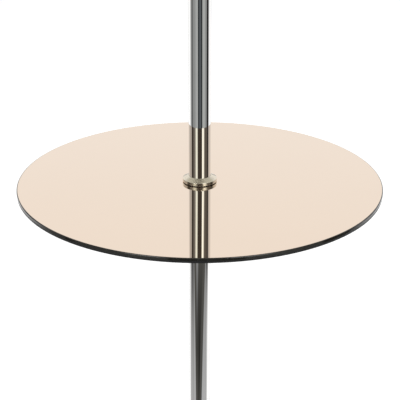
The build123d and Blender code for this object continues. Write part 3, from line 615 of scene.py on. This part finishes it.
def makeBulbCap(size):
    # A thin cone and wall: the outside going up, then the inside coming down.
    spread = size["radius"] - size["foot"]
    step = size["wall"] * math.hypot(spread, size["cone"]) / spread
    heights = np.linspace(capLow + size["cone"], capHigh, screwThread["rows"])
    outside = np.append(size["foot"] + 1j * capLow, size["radius"] + 1j * heights)
    inside = np.append(size["radius"] - size["wall"] + 1j * heights[:0:-1],
                       size["foot"] + 1j * (capLow + step))
    outline = np.concatenate([outside, inside, outside[:1]])
    return threadedPiece("bulbCap", outline, size["depth"], capHigh - size["skirt"], finishes["bulb_cap"])


def makeScrewShell(size):
    # A cup whose wall is rolled to the same thread as the cap.
    low, high = levels("socket_screw_shell")
    heights = np.linspace(low, high, screwThread["rows"])
    floor = low + size["wall"]
    outside = np.append(size["hole"] + 1j * low, size["radius"] + 1j * heights)
    inside = size["radius"] - size["wall"] + 1j * np.append(heights[heights > floor][::-1], floor)
    outline = np.concatenate([outside, inside, [size["hole"] + 1j * floor], outside[:1]])
    return threadedPiece("screwShell", outline, size["depth"], high - size["rim"], finishes["brass"])


def makeBulbGlass(size):
    # A ball on a neck: neck, circle arc outwards to the cone, cone, then the ball, and the same again
    # one wall further in. The neck narrows inside the cap, within its thread.
    low, high = levels("bulb_glass")
    centre, lean = high - size["ball"], math.radians(size["lean"])
    coneHeight = (size["ball"] * math.cos(lean) - size["neck"]) / math.tan(lean)
    coneFoot = centre - size["ball"] * math.sin(lean) - coneHeight
    arcCentre = size["neck"] + size["bend"] + 1j * (coneFoot - size["bend"] * math.tan(lean / 2))
    share = np.linspace(0, 1, 9)
    heights = np.concatenate([[low], capHigh - size["flare"] * (1 - share)])
    flared = eased(heights, capHigh - size["flare"], capHigh)
    neck = size["innerNeck"] + (size["neck"] - size["innerNeck"]) * flared

    def line(inset):
        arc = arcCentre - (size["bend"] + inset) * np.exp(-1j * lean * share)
        ball = 1j * centre + (size["ball"] - inset) * np.exp(1j * np.linspace(-lean, np.pi / 2, 40))
        ball[-1] = 1j * ball[-1].imag
        return np.concatenate([neck - inset + 1j * heights, arc, ball])

    outline = np.concatenate([line(0), line(size["wall"])[::-1], line(0)[:1]])
    grid = turnedGrid(outline * millimetre, fullTurn(96))
    return surfacePiece("bulbGlass", grid, [finishes["frosted_glass"]])


standIn(makeBulbCap(bulbCap), "bulb_cap")
standIn(makeScrewShell(screwShell), "socket_screw_shell")
standIn(makeBulbGlass(bulb), "bulb_glass")
print("bulb made")


# shade

shade = {"lowRadius": 203.0, "highRadius": 178.0, "wall": 0.6, "steps": 288, "overlap": 9.0,
         "seamRise": 0.35, "seamFade": 3.0, "seamAt": 90.0}
tape = {"width": 11.0, "thickness": 0.5, "foldOutside": 0.7, "foldInside": 0.25, "cutEdge": 0.2,
        "flap": 3.1, "depth": 4.3, "strays": 0.25, "lap": 12.0, "lapRise": 0.3, "armWidth": 3.6,
        "armFade": 0.8, "arms": (90, 210, 330), "drawnBack": 0.93}
shadeLow, shadeHigh = levels("shade_fabric")
shadeMiddle = (shade["lowRadius"] + shade["highRadius"]) / 2


def shadeRadius(height):
    spread = shade["highRadius"] - shade["lowRadius"]
    return shade["lowRadius"] + spread * (height - shadeLow) / (shadeHigh - shadeLow)


def seamAngles(start, reach, fade):
    # Angles from one join round to itself, closer together where the upper layer ends, and how far
    # the upper layer stands over the lower one at each. The last column closes the step at the cut edge.
    around = start + np.linspace(0, 2 * np.pi, shade["steps"] + 1)
    arc = np.linspace(reach - fade, reach, 7) / shadeMiddle
    nearArm = np.linspace(-1, 1, 21) * 1.5 * tape["armWidth"] / shadeMiddle
    close = np.concatenate([math.radians(at) + nearArm for at in tape["arms"]])
    close = (close - start) % (2 * np.pi) + start
    angles = np.unique(np.concatenate([around, start + arc, close]))
    raised = 1 - eased((angles - start) * shadeMiddle, reach - fade, reach)
    return np.append(angles, angles[0] + 2 * np.pi), np.append(raised, 1.0)


def makeShadeCloth():
    # A straight-sided cone sheet whose end is glued over its start. The cloth map is in metres: arc
    # length along the sheet, then height.
    heights = np.linspace(shadeLow, shadeHigh, 25)
    outer = shadeRadius(heights) + 1j * heights
    profile = np.concatenate([outer, outer[::-1] - shade["wall"], outer[:1]])
    outside = np.concatenate([np.ones(25), np.zeros(25), [1.0]])
    angles, raised = seamAngles(math.radians(shade["seamAt"]), shade["overlap"], shade["seamFade"])
    profile = (profile[:, None] + shade["seamRise"] * outside[:, None] * raised) * millimetre
    along = np.broadcast_to(angles * shadeMiddle * millimetre, profile.shape)
    uv = np.stack([along, profile.imag], axis=-1)
    return surfacePiece("shadeCloth", turnedGrid(profile, angles), [finishes["shade_linen"]], uv=uv)


def makeShadeTape(name, edge, up):
    # Tape folded over the shade's edge and round the wire inside it: a closed strip outline carried
    # round the shade. Its cut edge strays in slow waves, its end laps over its start, and its inner
    # flap is drawn back where an arm of the spider comes through. up is 1 at the top, -1 at the bottom.
    def outline(thick):
        inner = shadeRadius(edge) - tape["depth"]
        low = edge - up * tape["width"]
        flapEnd = edge - up * tape["flap"]
        return roundedProfile([
            (shadeRadius(low) + thick, low, tape["cutEdge"]),
            (shadeRadius(edge) + thick, edge + up * thick, tape["foldOutside"]),
            (inner - thick, edge + up * thick, tape["foldOutside"]),
            (inner - thick, flapEnd, tape["cutEdge"]),
            (inner, flapEnd, 0.1), (inner, edge, tape["foldInside"]),
            (shadeRadius(edge), edge, tape["foldInside"]),
            (shadeRadius(low), low, 0.1)]) / millimetre

    thin, lapped = outline(tape["thickness"]), outline(tape["thickness"] + tape["lapRise"])
    angles, raised = seamAngles(math.radians(shade["seamAt"] + 4), tape["lap"], 2.0)
    profile = thin[:, None] + (lapped - thin)[:, None] * raised
    below = (edge - profile.imag) * up
    outside = profile.real > shadeRadius(edge) - tape["depth"] / 2
    waves = np.sin(5 * angles + up) + 0.6 * np.sin(17 * angles) + 0.4 * np.sin(41 * angles + 2 * up)
    strays = np.where(outside, eased(below, 0, tape["width"]), 0) * waves * tape["strays"] / 2
    turns = [abs((angles - math.radians(at) + np.pi) % (2 * np.pi) - np.pi) for at in tape["arms"]]
    off = np.min(turns, axis=0) * shadeMiddle
    fade = eased(off, tape["armWidth"] / 2, tape["armWidth"] / 2 + tape["armFade"])
    drawn = tape["drawnBack"] * (1 - fade) * (up > 0)
    lifted = np.where(outside, 0, np.clip(below, 0, None)) * drawn
    profile = (profile + 1j * up * (lifted - strays)) * millimetre
    along = np.broadcast_to(angles * shadeMiddle * millimetre, profile.shape)
    across = np.cumsum(abs(np.diff(thin, prepend=thin[:1]))) * millimetre
    uv = np.stack([along, np.broadcast_to(across[:, None], profile.shape)], axis=-1)
    piece = surfacePiece(name, turnedGrid(profile, angles), [finishes["shade_tape"]], uv=uv)
    return standIn(piece, "shade_top_trim" if up > 0 else "shade_bottom_trim")


shadeCloth = standIn(makeShadeCloth(), "shade_fabric")
tapes = [makeShadeTape("topTape", shadeHigh, 1), makeShadeTape("bottomTape", shadeLow, -1)]
print("shade made")


# studio

studio = {"floorRadius": 14.0, "floorColour": (0.90, 0.90, 0.90), "floorGlow": 0.25, "worldFill": 0.84,
          "aimedAt": 0.8}
lamps = [
    {"name": "leftLamp", "azimuth": -34, "distance": 2.3, "height": 1.6, "size": (0.9, 1.6), "power": 9.0},
    {"name": "rightLamp", "azimuth": 32, "distance": 2.3, "height": 1.6, "size": (0.9, 1.6), "power": 9.0},
    {"name": "backLamp", "azimuth": 178, "distance": 2.6, "height": 1.7, "size": (1.4, 1.6), "power": 9.0}]

# The panels below are painted reflections: the world, the floor and the mirror wall show them only to
# reflected rays, and the camera and the light falling on things never meet them.
# What the polished metal reflects: soft panels and dark gaps between them. Azimuths are in degrees
# round the pole, 0 towards the camera's side and positive to its right. Each panel is laid over the
# ones before it. The second number of a pair is the change for each metre away from the pole, and in
# mirrorPanels for each metre above the level where they start to lean.
farPanels = [
    {"centre": -0.5, "half": 106, "soft": 24, "bright": 0.32, "tint": (0.985, 1.01, 1.0)},
    {"centre": -81.5, "half": 4.2, "soft": 10, "bright": 0.012},
    {"centre": -22.5, "half": 20, "soft": 43, "bright": 0.507, "tint": (0.985, 1.01, 1.0)},
    {"centre": 42, "half": 13, "soft": 25, "bright": 0.516, "tint": (0.985, 1.015, 0.98)},
    {"centre": 3.5, "half": 21.7, "soft": 1, "bright": 0.04, "tint": (0.88, 1.0, 1.08)},
    {"centre": 3.8, "half": 7, "soft": 8, "bright": 0.14, "tint": (0.90, 1.0, 1.07)},
    {"centre": 87, "half": 11.3, "soft": 4, "bright": 0.013}]
nearPanels = [
    {"centre": (-27, 17.2), "half": (95.5, 12.4), "soft": 4, "bright": (0.723, -0.405)},
    {"centre": (-79.2, -0.8), "half": (-2.4, 10.2), "soft": 13, "bright": (0.732, -0.797)},
    {"centre": (75.6, 8.6), "half": (-10.7, 19.8), "soft": 2, "bright": (2.27, -2.16)},
    {"centre": (-19.8, 18.8), "half": (4.0, 55.9), "soft": 5, "bright": (0.077, 0.018),
     "tint": (1.03, 1.0, 0.90)},
    {"centre": (-22.6, 25.8), "half": (-24.7, 54.2), "soft": 18, "bright": (-0.08, 0.157),
     "tint": (1.03, 1.0, 0.90)},
    {"centre": (-33.5, 5.8), "half": (-10.9, 21.6), "soft": 4.5, "bright": (-0.46, 0.71)}]
backPanels = [
    {"centre": 180, "half": 10, "soft": 8, "bright": 0.10},
    {"centre": 157, "half": 4, "soft": 6, "bright": 0.55},
    {"centre": -163, "half": 4, "soft": 6, "bright": 0.45}]
levelPanels = [
    {"centre": 178, "half": 36, "soft": 40, "bright": 0.50},
    {"centre": 180, "half": 12, "soft": 9, "bright": 0.09},
    {"centre": 128, "half": 9, "soft": 7, "bright": 0.08},
    {"centre": -124, "half": 11, "soft": 8, "bright": 0.13}]
sidePanels = [
    {"centre": 180, "half": 38, "soft": 12, "bright": 1.08, "tint": (1.0, 0.985, 0.94)},
    {"centre": 127, "half": 6, "soft": 5, "bright": 0.10},
    {"centre": -124, "half": 8, "soft": 6, "bright": 0.16}]
mirrorPanels = [
    {"centre": -8, "half": 125, "soft": 28, "bright": 0.63},
    {"centre": (-45.3, -24), "half": 46.3, "soft": 3, "bright": 0.053, "tint": (1.12, 1.0, 0.88)},
    {"centre": (-57, -24), "half": 9.7, "soft": 15, "bright": 0.26, "tint": (1.0, 1.0, 0.97)},
    {"centre": (-32.2, -24), "half": 11.2, "soft": 8.6, "bright": 1.38, "tint": (0.88, 0.98, 0.95)},
    {"centre": (49.4, -24), "half": 39.4, "soft": 14, "bright": 0.14, "tint": (1.06, 1.0, 0.92)},
    {"centre": (31.3, -24), "half": 13.1, "soft": 18.6, "bright": 1.78, "tint": (0.90, 0.98, 0.96)},
    {"centre": (1.4, -24), "half": 22.8, "soft": 2, "bright": 0.059, "tint": (1.14, 1.0, 0.88)},
    {"centre": 89.7, "half": 8.2, "soft": 1.4, "bright": 0.01}]
floorLook = {"changeLow": 1.15, "changeHigh": 1.40, "beyond": (1.27, 1.27, 1.27)}
# These three are in degrees above the horizon. Between low and high the ceiling comes in, and the
# panels and the ones that only level views meet fade out.
ceiling = {"low": 32, "high": 46, "colour": (0.66, 0.65, 0.57)}
horizon = {"low": 30, "high": 37}
levelHorizon = {"low": 2, "high": 5}
# The mirror wall shows painted reflections and is seen only after two reflections.
mirrorWall = {"radius": 1.3, "low": 0.62, "high": 2.1, "leanFrom": 1.12, "beyond": (1.0, 1.0, 1.0)}
# Painted highlights: two tall cards that glow only for rays off rough metal and glass, and light nothing.
tallPanels = [{"azimuth": -35, "reach": 4.0, "low": 1.5, "high": 6.3, "width": 1.6, "bright": 4.5},
              {"azimuth": 32, "reach": 4.0, "low": 1.5, "high": 6.3, "width": 1.9, "bright": 4.5}]
# The unlit inside of the shade is painted dim in the metal below it: a clear card just inside the shade's
# lower edge darkens and warms it for rays off rough metal only.
shadeMouth = {"radius": 198.0, "above": 2.0, "dimming": (0.70, 0.69, 0.63)}


def panelColour(tree, azimuth, reach, panels, colour):
    def changing(number):
        if isinstance(number, tuple):
            return reckon(tree, "MULTIPLY_ADD", reach, number[1], number[0])
        return number

    for panel in panels:
        apart = reckon(tree, "SUBTRACT", azimuth, changing(panel["centre"]))
        away = reckon(tree, "ABSOLUTE", reckon(tree, "WRAP", apart, 180.0, -180.0))
        inside = reckon(tree, "SUBTRACT", changing(panel["half"]), away)
        cover = between(tree, inside, -panel["soft"] / 2, panel["soft"] / 2)
        bright = reckon(tree, "MAXIMUM", changing(panel["bright"]), 0.01)
        lit = addNode(tree, "VectorMath", {0: panel.get("tint", (1, 1, 1)), 3: bright}, operation="SCALE")
        colour = mixColour(tree, cover, colour, lit.outputs[0])
    return colour


def roundThePole(tree, where=None):
    x, y, z = addNode(tree, "SeparateXYZ", {0: where or addNode(tree, "TexCoord").outputs["Object"]}).outputs
    turn = reckon(tree, "ARCTAN2", x, reckon(tree, "MULTIPLY", y, -1.0))
    azimuth = reckon(tree, "MULTIPLY", turn, 180 / math.pi)
    squares = [reckon(tree, "MULTIPLY", part, part) for part in (x, y)]
    reach = reckon(tree, "SQRT", reckon(tree, "ADD", *squares))
    return azimuth, reach


def seenDirectly(path, tree):
    # 1 for rays from the camera, off metal or through glass, 0 for light that falls on things.
    rays = reckon(tree, "ADD", path.outputs["Is Camera Ray"], path.outputs["Is Glossy Ray"])
    return reckon(tree, "MINIMUM", reckon(tree, "ADD", rays, path.outputs["Is Transmission Ray"]), 1.0)


def offMetal(path, tree):
    # 1 for a ray off metal with some roughness, 0 off the table's perfect mirror.
    rough = reckon(tree, "SUBTRACT", 1.0, path.outputs["Is Singular Ray"])
    return reckon(tree, "MULTIPLY", path.outputs["Is Glossy Ray"], rough)


def stageFinish(name):
    finish = bpy.data.materials.new(name)
    finish.use_nodes = True
    finish.node_tree.nodes.clear()
    return finish, finish.node_tree


def shaderMix(tree, share, first, second):
    return addNode(tree, "MixShader", {0: share, 1: first, 2: second}).outputs[0]


def makeWorld():
    world = bpy.data.worlds.new("studio")
    world.use_nodes = True
    tree = world.node_tree
    tree.nodes.clear()
    path = addNode(tree, "LightPath")
    towards = addNode(tree, "TexCoord").outputs["Generated"]
    azimuth, level = roundThePole(tree, towards)
    up = addNode(tree, "SeparateXYZ", {0: towards}).outputs[2]

    def above(limits):
        low, high = math.radians(limits["low"]), math.radians(limits["high"])
        return between(tree, up, math.sin(low), math.sin(high))

    # Painted reflections: rays off rough metal see the panels and a grey ceiling; all other rays see plain
    # white.
    panels = panelColour(tree, azimuth, level, farPanels + sidePanels, floorLook["beyond"])
    around = mixColour(tree, above(levelHorizon), panelColour(tree, azimuth, level, levelPanels, panels),
                       panels)
    around = mixColour(tree, above(horizon), around, (1.0, 1.0, 1.0))
    around = mixColour(tree, above(ceiling), around, ceiling["colour"])
    colour = mixColour(tree, offMetal(path, tree), (1.0, 1.0, 1.0), around)
    strength = mixNumber(tree, seenDirectly(path, tree), studio["worldFill"], 1.0)
    background = addNode(tree, "Background", {"Color": colour, "Strength": strength})
    tree.links.new(background.outputs[0], addNode(tree, "OutputWorld").inputs["Surface"])
    scene.world = world


def makeFloor():
    finish, tree = stageFinish("paleFloor")
    path = addNode(tree, "LightPath")
    azimuth, reach = roundThePole(tree)
    # Painted reflections: rays off rough metal see the panels here in place of the floor's own pale colour.
    near = panelColour(tree, azimuth, reach, nearPanels + backPanels, floorLook["beyond"])
    far = panelColour(tree, azimuth, reach, farPanels + backPanels, floorLook["beyond"])
    change = between(tree, reach, floorLook["changeLow"], floorLook["changeHigh"])
    reflected = mixColour(tree, change, near, far)
    plain = addNode(tree, "BsdfDiffuse", {"Color": (*studio["floorColour"], 1)}).outputs[0]
    glow = reckon(tree, "MULTIPLY", seenDirectly(path, tree), studio["floorGlow"])
    lift = addNode(tree, "Emission", {"Strength": glow}).outputs[0]
    seen = addNode(tree, "AddShader", {0: plain, 1: lift}).outputs[0]
    seen = shaderMix(tree, offMetal(path, tree), seen,
                     addNode(tree, "Emission", {"Color": reflected}).outputs[0])
    below = addNode(tree, "NewGeometry").outputs["Backfacing"]
    shown = shaderMix(tree, below, seen, addNode(tree, "BsdfTransparent").outputs[0])
    tree.links.new(shown, addNode(tree, "OutputMaterial").inputs["Surface"])
    profile = np.array([studio["floorRadius"], 4.0, 1.0, 0.3, 0.0]) - 0.0002j
    surfacePiece("floor", turnedGrid(profile, fullTurn(96)), [finish], lookUp=True)


def keepForMetal(card):
    card.visible_camera = card.visible_diffuse = card.visible_shadow = card.visible_transmission = False


def makeMirrorWall():
    finish, tree = stageFinish("mirrorWall")
    height = addNode(tree, "SeparateXYZ", {0: addNode(tree, "TexCoord").outputs["Object"]}).outputs[2]
    rise = reckon(tree, "MAXIMUM", reckon(tree, "SUBTRACT", height, mirrorWall["leanFrom"]), 0.0)
    colour = panelColour(tree, roundThePole(tree)[0], rise, mirrorPanels, mirrorWall["beyond"])
    glow = addNode(tree, "Emission", {"Color": colour})
    twice = reckon(tree, "GREATER_THAN", addNode(tree, "LightPath").outputs["Glossy Depth"], 1.5)
    shown = shaderMix(tree, twice, addNode(tree, "BsdfTransparent").outputs[0], glow.outputs[0])
    tree.links.new(shown, addNode(tree, "OutputMaterial").inputs["Surface"])
    profile = mirrorWall["radius"] + 1j * np.array([mirrorWall["low"], mirrorWall["high"]])
    keepForMetal(surfacePiece("mirrorWall", turnedGrid(profile, fullTurn(180)), [finish]))


def makeTallPanel(index, panel):
    finish, tree = stageFinish("tallPanel%d" % index)
    path = addNode(tree, "LightPath")
    # The card glows only for rays off rough metal: a painted highlight.
    glow = addNode(tree, "Emission", {"Strength": panel["bright"]}).outputs[0]
    shown = shaderMix(tree, offMetal(path, tree), addNode(tree, "BsdfTransparent").outputs[0], glow)
    tree.links.new(shown, addNode(tree, "OutputMaterial").inputs["Surface"])
    across, height = np.meshgrid(np.array([-0.5, 0.5]) * panel["width"],
                                 np.array([panel["low"], panel["high"]]))
    turn = math.radians(panel["azimuth"])
    x = panel["reach"] * math.sin(turn) + across * math.cos(turn)
    y = -panel["reach"] * math.cos(turn) + across * math.sin(turn)
    keepForMetal(surfacePiece("tallPanel%d" % index, np.stack([x, y, height], axis=-1), [finish]))


def makeShadeMouth():
    finish, tree = stageFinish("shadeMouth")
    path = addNode(tree, "LightPath")
    # Painted shade: only rays off rough metal are darkened as they pass.
    colour = mixColour(tree, offMetal(path, tree), (1.0, 1.0, 1.0), shadeMouth["dimming"])
    clear = addNode(tree, "BsdfTransparent", {"Color": colour})
    tree.links.new(clear.outputs[0], addNode(tree, "OutputMaterial").inputs["Surface"])
    profile = np.array([0.0, shadeMouth["radius"]]) + 1j * (shadeLow + shadeMouth["above"])
    keepForMetal(surfacePiece("shadeMouth", turnedGrid(profile * millimetre, fullTurn(96)), [finish]))


def makeLamp(lamp):
    light = bpy.data.lights.new(lamp["name"], "AREA")
    light.shape, light.energy = "RECTANGLE", lamp["power"]
    light.size, light.size_y = lamp["size"]
    box = bpy.data.objects.new(lamp["name"], light)
    turn = math.radians(lamp["azimuth"])
    box.location = (lamp["distance"] * math.sin(turn), -lamp["distance"] * math.cos(turn), lamp["height"])
    tilt = math.atan2(lamp["height"] - studio["aimedAt"], lamp["distance"])
    box.rotation_euler = (math.pi / 2 - tilt, 0, turn)
    box.visible_glossy = False
    scene.collection.objects.link(box)


makeWorld()
makeFloor()
makeMirrorWall()
for index, panel in enumerate(tallPanels):
    makeTallPanel(index, panel)
makeShadeMouth()
for lamp in lamps:
    makeLamp(lamp)
print("studio made")


# camera

view = {"distance": 1.3358, "height": 1.1103, "downward": 22.532, "turned": -0.013, "lens": 111.91}
lens = bpy.data.cameras.new("view")
lens.sensor_fit, lens.sensor_width, lens.lens = "HORIZONTAL", 36.0, view["lens"]
lens.clip_start, lens.clip_end = 0.05, 100.0
camera = bpy.data.objects.new("view", lens)
camera.location = (0.0, -view["distance"], view["height"])
camera.rotation_euler = (math.radians(90 - view["downward"]), 0, math.radians(view["turned"]))
scene.collection.objects.link(camera)
scene.camera = camera
scene.view_settings.view_transform = "Standard"

print("scene ready")
